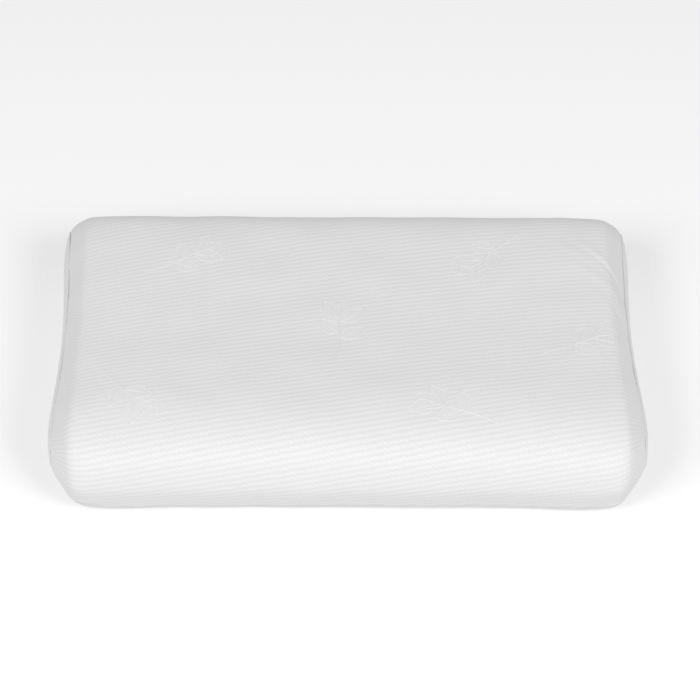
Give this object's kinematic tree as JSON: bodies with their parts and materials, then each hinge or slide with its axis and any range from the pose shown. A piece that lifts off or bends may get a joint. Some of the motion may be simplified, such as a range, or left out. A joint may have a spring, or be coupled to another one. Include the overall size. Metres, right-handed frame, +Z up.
{
  "type": "cervical pillow",
  "caption": "Contour neck pillow: a filled rectangular pillow with a raised front lobe, a shallow trough and a lower back lobe, in a knitted cover.",
  "frame": {"origin": "middle of the footprint, on the surface that the pillow lies on", "axes": "+X along the length, to the right as seen from the front; +Y from the higher front lobe to the back lobe; +Z up"},
  "size_m": [0.6, 0.405, 0.102],
  "materials": {
    "knit_cover": "near-white double-knit cloth, matte, with fine raised ribs"
  },
  "bodies": {
    "root": {"pillow": "knit_cover"}
  },
  "joints": []
}
